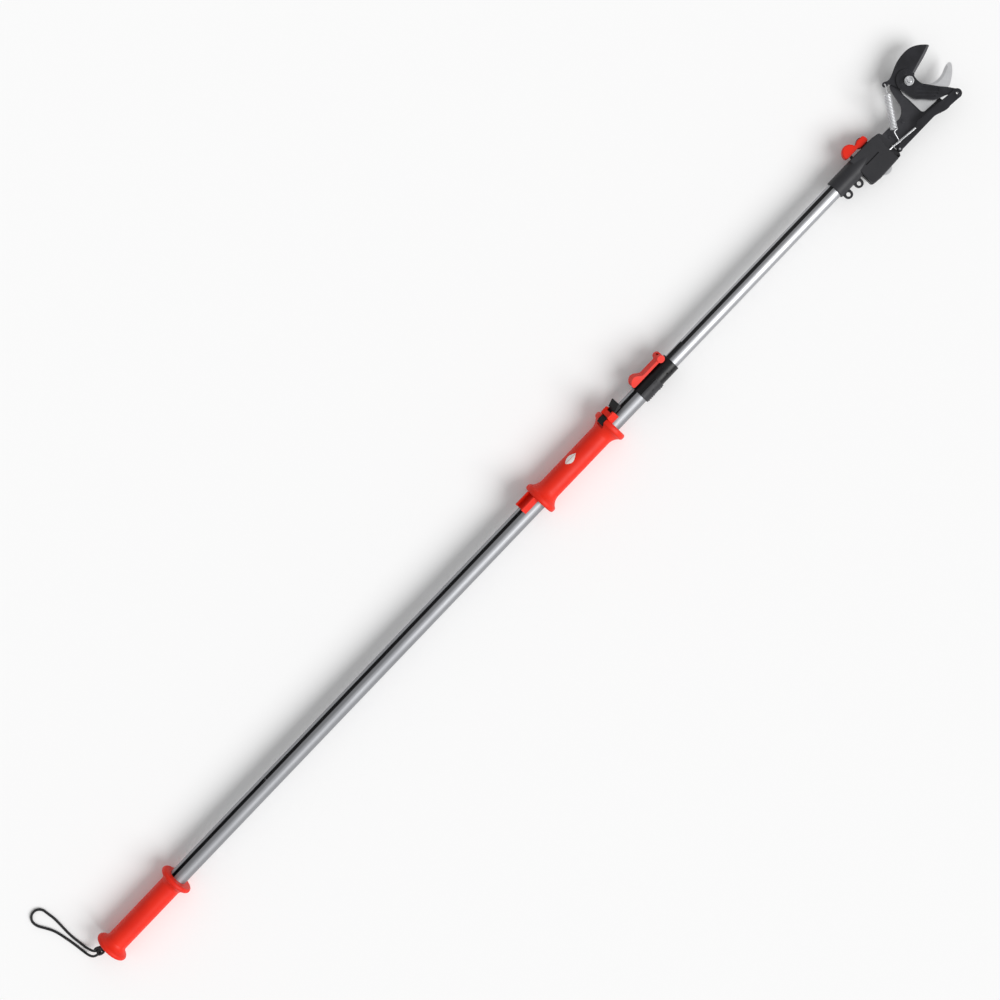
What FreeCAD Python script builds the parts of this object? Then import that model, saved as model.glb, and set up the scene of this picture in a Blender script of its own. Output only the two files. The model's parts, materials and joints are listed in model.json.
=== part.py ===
"""Long-reach telescopic bypass pruner, one solid or group of solids for each piece.

Everything is drawn in a design frame: X runs along the pole from the lower end of the bottom
grip towards the cutting head, Z is up and the pole's axis is Y = Z = 0. The cutting plates lie
parallel to the XY plane. Each finished piece is moved into the part's own frame, whose origin is
under the middle of the object, on the surface that it lies on. Lengths are in millimetres.

Features that belong to the strap groove are drawn with the groove on top (local X, width, radius)
and then turned about the pole to the groove's angle. The clamp's flip lever is made the same way.
"""
import FreeCAD, Part
import os
from math import pi, sqrt, tan

V = FreeCAD.Vector
ALONG = V(1, 0, 0)
UP = V(0, 0, 1)
START = V(0, 0, 0)

# Overall
HEAD_TIP_X = 1842.2            # tip of the counter-blade
FLANGE_R = 27.5                # grip flanges, which the tool lies on
BLADE_TOP_Y = 66.7
PULLEY_LOW_Y = -41.0
ORIGIN = V(-HEAD_TIP_X / 2, -(BLADE_TOP_Y + PULLEY_LOW_Y) / 2, FLANGE_R)

# Poles
LOWER_R, LOWER_WALL = 14.0, 1.6
LOWER_X = (8.0, 1209.0)
UPPER_R, UPPER_WALL = 12.0, 1.3
UPPER_X = (360.0, 1640.0)
GROOVE_ANGLE = 35.0            # of the strap groove and the slot, from +Z towards +Y
GROOVE_HALF, GROOVE_FLOOR_R = 3.3, 9.8
SLOT_HALF, SLOT_START_X = 3.2, 146.0
STRAP_HALF, STRAP_THICK = 2.8, 1.0
CLEAR = 0.4                    # between pieces that slide past each other
RUNNING = 0.06                 # radial clearance of a pin in its bore

# Grips
GRIP_R = 17.2
BOTTOM_GRIP_X = (0.0, 154.0)
MIDDLE_GRIP_X = (955.0, 1115.0)
SLEEVE_X = (928.0, 1129.0)
SLEEVE_R = (LOWER_R + 0.35, 15.9)
CHANNEL_HALF, CHANNEL_R, CHANNEL_WALL, CHANNEL_FLOOR_R = 8.5, 26.0, 2.5, 17.5
EAR_R = 30.5                   # top of the ears that hold the rocker's pin
BRIDGE_X, BRIDGE_R = (1116.4, 1124.6), (27.3, 29.6)    # between the ears, over the rocker
ROCKER_PIN = (1120.0, 20.5)    # X and radius
ROCKER_PIN_R = 1.5
ROCKER_HALF, ROCKER_TAB_HALF = 5.6, 8.0
KEY_X, KEY_HALF = (1028.0, 1129.0), 2.7

# Clamp at the top of the lower pole
CLAMP_X = (1174.4, 1242.8)
CLAMP_R, CLAMP_NOSE_R = 16.5, 14.9
CLAMP_SPLIT_Y = -1.8
COLLET_X, COLLET_R = (1212.0, 1238.0), 13.4
TONGUE_X = (1239.0, 1273.6)
CLAMP_LEVER_ANGLE = 62.0
CLAMP_LEVER_PIN = (1234.0, 20.5)   # X and radius
CLAMP_HEAD_R, CLAMP_HEAD_HALF, CLAMP_LUG_R = 6.0, 10.0, 3.8
LEVER_HALF, LUG_HALF = 7.0, 3.4
CLAMP_SCREWS_X, CLAMP_SCREW_Z, CLAMP_SCREW_R = (1183.0, 1200.0), -18.0, 1.5
CLAMP_RIBS_X = (1177.6, 1181.2, 1184.8, 1188.4, 1200.6, 1204.4)
CLAMP_POCKETS = ((1192.8, -9.9), (1224.9, -7.5), (1232.1, -10.2))
CLAMP_POCKET = (3.2, 2.0)      # length and width of the small pockets in its face
CLAMP_RECESS_R = 14.9          # floor of the recess beside the flip lever
CLAMP_RECESS_X, CLAMP_RECESS_Y = (1174.0, 1227.0), (1.0, 10.4)

# Head housing
SOCKET_X, SOCKET_R = (1591.0, 1635.3), 14.75
EYELETS = ((1601.7, -19.0), (1623.9, -19.0))
EYELET_R, EYELET_HOLE_R, EYELET_Z = 6.7, 3.4, (-6.5, -1.5)
HOUSING_Z = 13.0
COVER_END_X = 1687.7
COVER_END = ((1691.8, 16.0), (COVER_END_X, -9.0), (COVER_END_X, -40.0))
COVER_SEAM = ((1648.4, -7.3), (1673.0, -7.5))
BAR_CHANNEL_TOP = 9.6
PULLEY = (1666.0, -30.0)
PULLEY_R, PULLEY_Z, AXLE_R = 11.0, (-8.0, -1.0), 2.5
HOUSING_LEVER_PIN = (1669.0, 20.7)
HOUSING_HEAD_R = 8.6
LEVER_PIN_R = 2.0              # of both flip levers
HOUSING_SCREWS = ((1648.5, 8.0), (1682.0, 9.0), (1652.0, -14.0))
HOUSING_SCREW_R, HOUSING_SCREW_HEAD_R, HOUSING_SCREW_HEAD = 1.5, 3.0, 2.0

# Cutting head: each pair is the lower and upper face of a plate
FRAME_Z = (-7.0, -3.0)
COUNTER_Z = (-3.0, 0.0)
BLADE_Z = (0.3, 3.3)
ARM_Z = (3.3, 6.3)
BAR_Z = (6.6, 9.1)
FORK_Z = (0.5, 3.0)
PIVOT = (1780.2, 32.4)
PIVOT_R = 5.0
THREAD_R, WASHER_R, NUT_CORNER_R = 3.3, 7.1, 7.0
PIVOT_HEAD_R, PIVOT_HEAD = 9.0, 3.5
WASHER_Z, NUT_Z = (6.6, 7.6), (7.6, 12.2)
TAIL_HOLE = (1752.8, 54.3)
TAIL_HOLE_R = 1.7
BLADE_BEVEL, COUNTER_BEVEL = (3.6, 2.2), (4.0, 1.6)    # width and depth
ARM_PIN = (1815.0, -31.0)
ARM_PIN_R, ARM_PIN_BORE_R, ARM_END_R = 3.4, 1.9, 6.8
BAR_WHEEL = (1699.4, -27.15)
BAR_WHEEL_R, BAR_WHEEL_Z, BAR_WHEEL_PIN_R = 4.2, (2.0, 6.3), 1.5
FRAME_RIVETS = ((1732.8, -2.5), (1704.0, -4.0))
COUNTER_RIVET = (1773.4, -8.4)
RIVET_R, RIVET_HEAD_R, RIVET_HEAD = 1.6, 2.8, 0.9
ARM_RIVETS = ((1770.2, 38.6), (1783.6, 44.6))
ARM_RIVET_R = 1.8
ROD_ENDS = ((1681.0, -15.9), (1739.0, -22.3))
ROD_R, ROD_Z = 1.5, -1.4

# Return spring
SPRING_R, SPRING_WIRE_R = 5.7, 0.65
SPRING_Z = 9.0
SPRING_ENDS = ((1713.2, -1.8), (1743.7, 41.8))
SPRING_ANCHOR = (1708.0, -18.5)

# Wrist cord, in the design frame. The loop's far end lies flat on the ground.
CORD_R = 2.0
CORD_GROUND = -FLANGE_R + CORD_R + 0.1
KNOT_CENTRE = V(-14.0, 9.7, 0)
KNOT_HALF = V(6.5, 8.5, 6.5)
CORD_ROUTE = (
    (0, 9.7, 0), (-12.5, 9.7, 0), (-24, 13.5, -9), (-33, 24, -21),
    (-36.5, 38, CORD_GROUND), (-38.5, 58, CORD_GROUND), (-37.2, 80, CORD_GROUND),
    (-36.6, 95, CORD_GROUND), (-38.4, 106.1, CORD_GROUND), (-39.2, 117, CORD_GROUND),
    (-46.8, 124.6, CORD_GROUND), (-57.4, 124.8, CORD_GROUND), (-65, 117.4, CORD_GROUND),
    (-65, 106.4, CORD_GROUND), (-57.8, 94, CORD_GROUND), (-50.8, 80.5, CORD_GROUND),
    (-47, 62, CORD_GROUND), (-44, 43, CORD_GROUND), (-42.6, 27, CORD_GROUND),
    (-37.5, 13.8, -17), (-27.6, 7.6, -6.5), (-17.6, 6.7, -1),
)


# ---- Helpers ---------------------------------------------------------------------------------

def v(point):
    return V(*point) if len(point) == 3 else V(point[0], point[1], 0)


def bar_x(radius, x0, x1):
    """A round bar on the pole's axis."""
    return Part.makeCylinder(radius, x1 - x0, V(x0, 0, 0), ALONG)


def ring_x(outer, inner, x0, x1):
    return bar_x(outer, x0, x1).cut(bar_x(inner, x0 - 1, x1 + 1))


def post(point, radius, low, high):
    """A round bar along Z."""
    return Part.makeCylinder(radius, high - low, V(point[0], point[1], low), UP)


def bar_y(radius, y0, y1, x, z):
    return Part.makeCylinder(radius, y1 - y0, V(x, y0, z), V(0, 1, 0))


def rod(a, b, radius):
    return Part.makeCylinder(radius, (b - a).Length, a, b - a)


def block(x, y, z):
    """A box between the two values of each pair."""
    return Part.makeBox(x[1] - x[0], y[1] - y[0], z[1] - z[0], V(x[0], y[0], z[0]))


def outline(start, *steps):
    """A flat closed face. A step is a point for a straight edge, ("arc", via, end) for an arc,
    or ("curve", point, ...) for a smooth edge through the points. The last edge closes it."""
    edges, here = [], start
    for step in (*steps, start):
        if step[0] == "arc":
            edges.append(Part.Arc(v(here), v(step[1]), v(step[2])).toShape())
            here = step[2]
        elif step[0] == "curve":
            curve = Part.BSplineCurve()
            curve.interpolate([v(here), *map(v, step[1:])])
            edges.append(curve.toShape())
            here = step[-1]
        elif (v(step) - v(here)).Length > 1e-6:
            edges.append(Part.makeLine(v(here), v(step)))
            here = step
    return Part.Face(Part.Wire(edges))


def plate(face, z):
    """A face of the XY plane made solid between two heights."""
    low = face.copy()
    low.translate(V(0, 0, z[0]))
    return low.extrude(V(0, 0, z[1] - z[0]))


def turned(shape, angle):
    """A shape drawn above the pole, turned about it by an angle from +Z towards +Y."""
    result = shape.copy()
    result.rotate(START, ALONG, -angle)
    return result


def radial_plate(face, half_width, angle):
    """A face drawn as X and radius, made solid across the pole at an angle."""
    result = plate(face, (-half_width, half_width))
    result.rotate(START, ALONG, 90 - angle)
    return result


def radial_pin(centre, radius, half_width, angle):
    """A pin across the pole at an angle, centred on X and radius."""
    result = post(centre, radius, -half_width, half_width)
    result.rotate(START, ALONG, 90 - angle)
    return result


def joined(*shapes):
    return shapes[0].multiFuse(list(shapes[1:])).removeSplitter()


def softened(shape, radius, choose):
    """Rounds the edges that choose(edge) picks."""
    return shape.makeFillet(radius, [e for e in shape.Edges if choose(e)])


def at_height(z):
    """Picks the edges that lie wholly at a height."""
    return lambda e: abs(e.BoundBox.ZMin - z) < 1e-3 and abs(e.BoundBox.ZMax - z) < 1e-3


# ---- Poles -----------------------------------------------------------------------------------

def lower_tube():
    slot = block((SLOT_START_X, LOWER_X[1] + 1), (-SLOT_HALF, SLOT_HALF), (10, LOWER_R + 2))
    tube = ring_x(LOWER_R, LOWER_R - LOWER_WALL, *LOWER_X)
    return tube.cut(turned(slot, GROOVE_ANGLE))


def upper_tube():
    x0, x1 = UPPER_X
    groove = block((x0 - 1, x1 + 1), (-GROOVE_HALF, GROOVE_HALF), (GROOVE_FLOOR_R, UPPER_R + 2))
    half, floor = GROOVE_HALF + UPPER_WALL, GROOVE_FLOOR_R - UPPER_WALL
    fold = block((x0 - 2, x1 + 2), (-half, half), (floor, UPPER_R + 2))
    inside = bar_x(UPPER_R - UPPER_WALL, x0 - 1, x1 + 1).cut(turned(fold, GROOVE_ANGLE))
    return bar_x(UPPER_R, x0, x1).cut(turned(groove, GROOVE_ANGLE)).cut(inside)


def pull_strap():
    strap = block(
        (UPPER_X[0] + 2, UPPER_X[1] - 1),
        (-STRAP_HALF, STRAP_HALF),
        (GROOVE_FLOOR_R, GROOVE_FLOOR_R + STRAP_THICK),
    )
    return turned(strap, GROOVE_ANGLE)


def tube_plug():
    """Plastic slider plug in the foot of the upper tube, with a flat for the groove's fold."""
    x0 = UPPER_X[0]
    plug = bar_x(UPPER_R - UPPER_WALL, x0, x0 + 25)
    fold = block((x0 - 1, x0 + 26), (-12, 12), (GROOVE_FLOOR_R - UPPER_WALL, UPPER_R + 2))
    head = bar_x(UPPER_R - 0.2, x0 - 5, x0)
    return joined(plug.cut(turned(fold, GROOVE_ANGLE)), head)


# ---- Grips -----------------------------------------------------------------------------------

def grip_half(x0, x1, bore, rim, flare):
    """Half of a grip, from its flange to its middle. rim is the flange's thickness, and the body
    is straight beyond flare."""
    corner = 3.6
    face = outline(
        (x0, bore),
        (x0, FLANGE_R - corner),
        ("arc", (x0 + 0.3 * corner, FLANGE_R - 0.3 * corner), (x0 + corner, FLANGE_R)),
        (x0 + rim - corner, FLANGE_R),
        ("arc", (x0 + rim - 0.35 * corner, FLANGE_R - 0.4 * corner), (x0 + rim, FLANGE_R - corner)),
        (
            "curve",
            (x0 + 0.55 * rim + 0.45 * flare, GRIP_R + 2.2),
            (x0 + 0.2 * rim + 0.8 * flare, GRIP_R + 0.5),
            (x0 + flare, GRIP_R),
        ),
        ((x0 + x1) / 2, GRIP_R),
        ((x0 + x1) / 2, bore),
    )
    return face.revolve(START, ALONG, 360)


def grip(x0, x1, bore, rim, flare):
    half = grip_half(x0, x1, bore, rim, flare)
    other = half.mirror(V((x0 + x1) / 2, 0, 0), ALONG)
    return joined(half, other)


def bottom_grip():
    x0, x1 = BOTTOM_GRIP_X
    return joined(grip(x0, x1, LOWER_R, 8.5, 17.0), bar_x(LOWER_R + 1, x0, LOWER_X[0] - 2))


def end_plug():
    """Plug in the foot of the lower tube, behind the closed end of the grip."""
    x0 = LOWER_X[0]
    return joined(bar_x(LOWER_R, x0 - 2, x0), bar_x(LOWER_R - LOWER_WALL, x0, x0 + 20))


def middle_grip():
    body = grip(*MIDDLE_GRIP_X, SLEEVE_R[1], 10.5, 24.0)
    half = ROCKER_HALF + 0.7
    pocket = block((1099, MIDDLE_GRIP_X[1] + 1), (-half, half), (CHANNEL_FLOOR_R, FLANGE_R + 2))
    return body.cut(turned(pocket, GROOVE_ANGLE))


def slide_channel():
    """Liner of the sliding grip, with an open U-channel beyond each flange. The upper channel has
    an ear on each side for the rocker's pin, and a bridge from ear to ear."""
    result = ring_x(SLEEVE_R[1], SLEEVE_R[0], *MIDDLE_GRIP_X)
    bore = bar_x(SLEEVE_R[0], SLEEVE_X[0] - 1, SLEEVE_X[1] + 1)
    inner = CHANNEL_HALF - CHANNEL_WALL
    low_end, high_end = (SLEEVE_X[0], MIDDLE_GRIP_X[0]), (MIDDLE_GRIP_X[1], SLEEVE_X[1])
    for x in (low_end, high_end):
        outer = block(x, (-CHANNEL_HALF, CHANNEL_HALF), (10, CHANNEL_R))
        outer = softened(outer, 1.2, lambda e: e.BoundBox.ZMin > CHANNEL_R - 0.01)
        if x is high_end:
            outer = outer.fuse(rocker_ears())
        space = block((x[0] - 1, x[1] + 1), (-inner, inner), (CHANNEL_FLOOR_R, EAR_R + 1))
        channel = outer.cut(space)
        if x is high_end:
            channel = channel.fuse(block(BRIDGE_X, (-inner - 1, inner + 1), BRIDGE_R))
        result = result.fuse(turned(channel, GROOVE_ANGLE).cut(bore))
    key_way = block((KEY_X[0], KEY_X[1] + 1), (-KEY_HALF, KEY_HALF), (SLEEVE_R[0] - 1, SLEEVE_R[1]))
    pin = radial_pin(ROCKER_PIN, ROCKER_PIN_R, CHANNEL_HALF - 1, GROOVE_ANGLE)
    return result.cut(turned(key_way, GROOVE_ANGLE)).cut(pin).removeSplitter()


def rocker_ears():
    """Rounded tops of the upper channel's sides, drawn before the channel is hollowed."""
    x0, x1 = MIDDLE_GRIP_X[1] + 0.2, SLEEVE_X[1] - 0.4
    ears = block((x0, x1), (-CHANNEL_HALF, CHANNEL_HALF), (CHANNEL_R - 3, EAR_R))
    return softened(ears, 2.6, lambda e: e.BoundBox.ZMin > EAR_R - 0.01 and e.BoundBox.YLength > 5)


def grip_key():
    """Key of the sliding grip, which runs in the lower tube's slot above the strap."""
    foot = GROOVE_FLOOR_R + STRAP_THICK + 0.6
    key = block(KEY_X, (-KEY_HALF, KEY_HALF), (foot, SLEEVE_R[1]))
    key = key.common(bar_x(SLEEVE_R[1] - 0.05, *KEY_X))
    return turned(key, GROOVE_ANGLE)


def strap_rocker():
    """Black rocker that wedges the strap against the key when its tab is pushed over."""
    side = outline(
        (1103, 18.2),
        (1102, 25.0),
        ("curve", (1109, 26.6), (1117, 25.6), (1126, 25.2)),
        ("curve", (1133, 29.0), (1141, 33.6)),
        ("arc", (1142.6, 32.6), (1142.6, 31.0)),
        (1141, 24.5),
        ("curve", (1134, 22.0), (1129, 20.4)),
        (1121, 18.2),
    )
    tab = outline(
        (1130.2, 24.0), (1130.2, 27.4), (1141, 33.6),
        ("arc", (1142.6, 32.6), (1142.6, 31.0)), (1141, 24.5),
    )
    lever = joined(
        radial_plate(side, ROCKER_HALF, GROOVE_ANGLE),
        radial_plate(tab, ROCKER_TAB_HALF, GROOVE_ANGLE),
    )
    return lever.cut(radial_pin(ROCKER_PIN, ROCKER_PIN_R + RUNNING, 20, GROOVE_ANGLE))


def rocker_pin():
    return radial_pin(ROCKER_PIN, ROCKER_PIN_R, CHANNEL_HALF - 1, GROOVE_ANGLE)


# ---- Clamp -----------------------------------------------------------------------------------

def clamp_shell(upper):
    """Half of the collar round the lower tube, on one side of the split."""
    collar = ring_x(CLAMP_R, LOWER_R, CLAMP_X[0], LOWER_X[1])
    collar = softened(collar, 1.0, lambda e: e.BoundBox.YMax > CLAMP_R - 0.1 and
                      e.BoundBox.XMax < CLAMP_X[0] + 0.1)
    for x in CLAMP_SCREWS_X:
        boss = bar_y(3.4, CLAMP_SPLIT_Y - 6, CLAMP_SPLIT_Y + 6, x, CLAMP_SCREW_Z)
        hole = bar_y(CLAMP_SCREW_R, CLAMP_SPLIT_Y - 7, CLAMP_SPLIT_Y + 5.5, x, CLAMP_SCREW_Z)
        collar = collar.fuse(boss).cut(hole)
    collar = collar.cut(bar_x(LOWER_R, CLAMP_X[0] - 1, LOWER_X[1] + 1))
    y = (CLAMP_SPLIT_Y, 40) if upper else (-40, CLAMP_SPLIT_Y)
    return collar.common(block((CLAMP_X[0] - 1, LOWER_X[1]), y, (-40, 40)))


def clamp_screws():
    screws = []
    for x in CLAMP_SCREWS_X:
        shank = bar_y(CLAMP_SCREW_R, CLAMP_SPLIT_Y - 6, CLAMP_SPLIT_Y + 5.5, x, CLAMP_SCREW_Z)
        head = bar_y(2.6, CLAMP_SPLIT_Y - 8, CLAMP_SPLIT_Y - 6, x, CLAMP_SCREW_Z)
        screws.append(joined(shank, head))
    return screws


def clamp_cover():
    """Lower half of the collar, with stiffening ribs across it."""
    cover = clamp_shell(False)
    for x in CLAMP_RIBS_X:
        rib = ring_x(CLAMP_R + 0.7, CLAMP_R - 0.6, x, x + 1.7)
        cover = cover.fuse(rib.common(block((x, x + 1.7), (-40, -4.5), (-11, 20))))
    return cover.cut(clamp_pockets()).removeSplitter()


def clamp_pockets():
    length, width = CLAMP_POCKET
    pockets = []
    for x, y in CLAMP_POCKETS:
        floor = sqrt(CLAMP_NOSE_R ** 2 - y ** 2) - 1.2 if x > LOWER_X[1] else 12.6
        pockets.append(block((x - length / 2, x + length / 2), (y - width / 2, y + width / 2),
                             (floor, 20)))
    return joined(*pockets)


def clamp_body():
    """Upper half of the collar, with the closed nose that holds the collet."""
    nose = ring_x(CLAMP_NOSE_R, UPPER_R + CLEAR, LOWER_X[1], CLAMP_X[1])
    nose = softened(nose, 0.8, lambda e: e.BoundBox.XMin > CLAMP_X[1] - 0.1 and
                    e.BoundBox.YMax > CLAMP_NOSE_R - 0.1)
    x, r = CLAMP_LEVER_PIN
    lug = outline(
        (x - CLAMP_LUG_R, 12.0), (x - CLAMP_LUG_R, r),
        ("arc", (x, r + CLAMP_LUG_R), (x + CLAMP_LUG_R, r)), (x + CLAMP_LUG_R, 12.0),
    )
    recess = block(CLAMP_RECESS_X, CLAMP_RECESS_Y, (0, 20))
    recess = recess.cut(bar_x(CLAMP_RECESS_R, CLAMP_RECESS_X[0], LOWER_X[1]))
    recess = recess.cut(bar_x(CLAMP_NOSE_R - 1.0, LOWER_X[1], CLAMP_RECESS_X[1]))
    groove = block((CLAMP_X[0] - 1, 1208.0), (CLAMP_SPLIT_Y, CLAMP_SPLIT_Y + 1.6), (14.7, 20))
    body = clamp_shell(True).fuse(nose).cut(recess).cut(groove)
    body = body.cut(clamp_pockets())
    head_way = radial_pin(CLAMP_LEVER_PIN, CLAMP_HEAD_R + CLEAR, CLAMP_HEAD_HALF + CLEAR,
                          CLAMP_LEVER_ANGLE)
    body = body.cut(head_way)
    lug_solid = radial_plate(lug, LUG_HALF, CLAMP_LEVER_ANGLE)
    lug_solid = lug_solid.cut(bar_x(UPPER_R + CLEAR, 1200, 1250))
    body = body.fuse(lug_solid)
    body = body.cut(bar_x(COLLET_R, *COLLET_X))
    body = body.cut(radial_pin(CLAMP_LEVER_PIN, LEVER_PIN_R, 12, CLAMP_LEVER_ANGLE))
    return body.cut(groove_guide()).removeSplitter()


def clamp_collet():
    """Split nylon ring that the lever closes on the upper tube."""
    ring = ring_x(COLLET_R, UPPER_R + CLEAR, *COLLET_X)
    return ring.cut(block((COLLET_X[0] - 1, COLLET_X[1] + 1), (-1.2, 1.2), (-20, 0)))


def groove_guide():
    """Tongue that reaches into the upper tube's groove and keeps the poles from turning."""
    half = GROOVE_HALF - CLEAR
    top = block(TONGUE_X, (-half - 0.8, half + 0.8), (UPPER_R + CLEAR, UPPER_R + 1.9))
    top = softened(top, 0.7, lambda e: e.BoundBox.ZMin > UPPER_R + 1.8)
    key = block(TONGUE_X, (-half, half), (GROOVE_FLOOR_R + STRAP_THICK + 0.5, UPPER_R + 1))
    return turned(joined(top, key), GROOVE_ANGLE)


def clamp_lever():
    """Red flip lever: a thumb lobe, a straight arm and a forked round head on the pin."""
    arm = outline(
        (1232, 17.2),
        (1179, 17.2),
        ("arc", (1175.7, 18.6), (1175.0, 22.0)),
        ("curve", (1179.2, 28.0), (1185.8, 30.4), (1192.0, 27.4), (1196.4, 23.2), (1201.0, 21.8)),
        (1226.5, 21.8),
        ("curve", (1229.0, 23.6), (1232, 26.3)),
    )
    body = joined(
        radial_plate(arm, LEVER_HALF, CLAMP_LEVER_ANGLE),
        radial_pin(CLAMP_LEVER_PIN, CLAMP_HEAD_R, CLAMP_HEAD_HALF, CLAMP_LEVER_ANGLE),
    )
    x, r = CLAMP_LEVER_PIN
    fork_half = LUG_HALF + 0.4
    under = block((x - CLAMP_LUG_R - CLEAR, 1242), (-fork_half, fork_half), (10, r))
    beyond = block((x, 1242), (-fork_half, fork_half), (r - 1, 30))
    for way in (turned(under, CLAMP_LEVER_ANGLE), turned(beyond, CLAMP_LEVER_ANGLE),
                radial_pin(CLAMP_LEVER_PIN, CLAMP_LUG_R + CLEAR, fork_half, CLAMP_LEVER_ANGLE),
                radial_pin(CLAMP_LEVER_PIN, LEVER_PIN_R + RUNNING, CLAMP_HEAD_HALF - 1,
                           CLAMP_LEVER_ANGLE)):
        body = body.cut(way)
    return body


def clamp_lever_pin():
    return radial_pin(CLAMP_LEVER_PIN, LEVER_PIN_R, CLAMP_HEAD_HALF - 1.4, CLAMP_LEVER_ANGLE)


# ---- Head housing ----------------------------------------------------------------------------

def head_socket():
    """Collar on the top of the upper tube, with the two rope eyelets under it."""
    collar = ring_x(SOCKET_R, UPPER_R, *SOCKET_X)
    collar = softened(collar, 1.2, lambda e: e.BoundBox.XMax < SOCKET_X[0] + 0.1 and
                      e.BoundBox.YMax > SOCKET_R - 0.1)
    bore = bar_x(UPPER_R, SOCKET_X[0] - 1, SOCKET_X[1] + 1)
    for x, y in EYELETS:
        web = block((x - EYELET_R, x + EYELET_R), (y, -10), EYELET_Z)
        collar = collar.fuse(post((x, y), EYELET_R, *EYELET_Z).fuse(web).cut(bore))
    for eyelet in EYELETS:
        collar = collar.cut(post(eyelet, EYELET_HOLE_R, -10, 2))
    return collar.removeSplitter()


def housing_outline():
    """Side of the housing, with its rounded end."""
    left = SOCKET_X[1]
    return outline(
        (left, 14.5),
        (1681, 14.1),
        (1692, 12.3),
        ("arc", (1696.2, 10.6), (1697.6, 7.0)),
        (1697.6, -30.0),
        ("arc", (1696.0, -33.8), (1692.0, -35.1)),
        (1648.0, -36.5),
        ("curve", (1641.0, -35.6), (1637.0, -34.4), (left, -31.5)),
    )


def lever_lug():
    """Lug that carries the housing's flip lever, and the small rest for its thumb lobe."""
    x, y = HOUSING_LEVER_PIN
    lug = post((x - 1, y), 7.5, -LUG_HALF + 0.4, LUG_HALF - 0.4)
    foot = block((x - 7, x + 6), (11, y), (-LUG_HALF + 0.4, LUG_HALF - 0.4))
    rest = block((1641, 1645), (11, 17.8), (-LUG_HALF + 0.4, LUG_HALF - 0.4))
    return lug.fuse(foot), rest


def housing_back():
    back = plate(housing_outline(), (-HOUSING_Z, 0))
    back = softened(back, 1.6, at_height(-HOUSING_Z))
    x, y = PULLEY
    side = PULLEY_R + 0.5
    back = back.cut(post(PULLEY, side, PULLEY_Z[0] - 0.5, 1))
    back = back.cut(block((x - side, x + side), (y - 20, y), (PULLEY_Z[0] - 0.5, 1)))
    back = back.cut(post(PULLEY, AXLE_R, -HOUSING_Z + 1, 1))
    back = back.cut(block((COVER_END_X + 0.5, 1700), (-34.5, -14.6), (-5, 1)))
    back = back.cut(bar_x(UPPER_R, SOCKET_X[1] - 1, UPPER_X[1]))
    back = back.cut(post(HOUSING_LEVER_PIN, HOUSING_HEAD_R + CLEAR, -8.5, 1))
    lug, rest = lever_lug()
    back = back.fuse(lug).fuse(rest)
    back = back.cut(post(HOUSING_LEVER_PIN, LEVER_PIN_R, -20, 20))
    back = back.cut(head_frame())
    back = back.cut(spring_rod())
    seat = HOUSING_SCREW_HEAD - HOUSING_Z
    for screw in HOUSING_SCREWS:
        back = back.cut(post(screw, HOUSING_SCREW_R, -20, 1))
        back = back.cut(post(screw, HOUSING_SCREW_HEAD_R, -20, seat))
    return back.removeSplitter()


def housing_cover():
    keep = outline((SOCKET_X[1], -40.0), (SOCKET_X[1], 16.0), *COVER_END)
    cover = plate(housing_outline(), (0, HOUSING_Z)).common(plate(keep, (0, HOUSING_Z)))
    cover = softened(cover, 1.5, at_height(HOUSING_Z))
    crest = Part.makeCone(SOCKET_R, HOUSING_Z - 1, 34, V(SOCKET_X[1], 0, 0), ALONG)
    cover = cover.fuse(crest.common(block((1630, 1700), (-20, 14.5), (0, 20))))
    cover = cover.cut(block((1630, 1700), (-45, -12.5), (-1, BAR_CHANNEL_TOP)))
    cover = cover.cut(bar_x(UPPER_R, SOCKET_X[1] - 1, UPPER_X[1]))
    cover = cover.cut(post(HOUSING_LEVER_PIN, HOUSING_HEAD_R + CLEAR, -1, 8.5))
    cover = cover.cut(slot(*COVER_SEAM, 0.9, HOUSING_Z - 2.2))
    lug, rest = lever_lug()
    cover = cover.cut(lug).cut(rest)
    for screw in HOUSING_SCREWS[:2]:
        cover = cover.cut(post(screw, HOUSING_SCREW_R, -1, 9))
    return cover.removeSplitter()


def housing_screws():
    """Two long screws into the cover and a short one, all from below."""
    screws = []
    low, seat = -HOUSING_Z, HOUSING_SCREW_HEAD - HOUSING_Z
    for (x, y), tip in zip(HOUSING_SCREWS, (8.5, 8.5, -0.5)):
        head = post((x, y), HOUSING_SCREW_HEAD_R, low, seat)
        drive = block((x - 2.2, x + 2.2), (y - 0.4, y + 0.4), (low - 0.1, low + 0.7))
        screws.append(head.fuse(post((x, y), HOUSING_SCREW_R, seat, tip)).cut(drive))
    return screws


def housing_lever():
    """Red flip lever of the housing: a domed thumb lobe on a short neck and a forked head."""
    x, y = HOUSING_LEVER_PIN
    side = outline(
        (1636.6, 18.2),
        ("curve", (1634.2, 21.6), (1636.8, 29.6), (1645.4, 34.6), (1653.2, 31.6), (1656.8, 26.0)),
        ("curve", (1658.4, 24.6), (1661.4, 25.4), (1665.0, 27.2)),
        (1673.0, 26.6),
        ("curve", (1676.4, 25.0), (1677.4, 22.4), (1677.5, 20.0)),
        ("curve", (1677.0, 17.4), (1675.4, 15.4)),
        (1662.4, 15.4),
        ("curve", (1659.8, 16.4), (1658.6, 18.2)),
    )
    lever = plate(side, (-8, 8))
    lever = softened(lever, 1.6, lambda e: at_height(8)(e) or at_height(-8)(e))
    fork = LUG_HALF + 0.1
    lever = lever.cut(block((1659.6, 1690), (10, 40), (-fork, fork)))
    way = post(HOUSING_LEVER_PIN, HOUSING_HEAD_R, -9, 9)
    low = block((x - 2, 1690), (0, y), (-9, 9)).cut(way)
    return lever.cut(low).cut(post(HOUSING_LEVER_PIN, LEVER_PIN_R + RUNNING, -20, 6.5))


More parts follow.
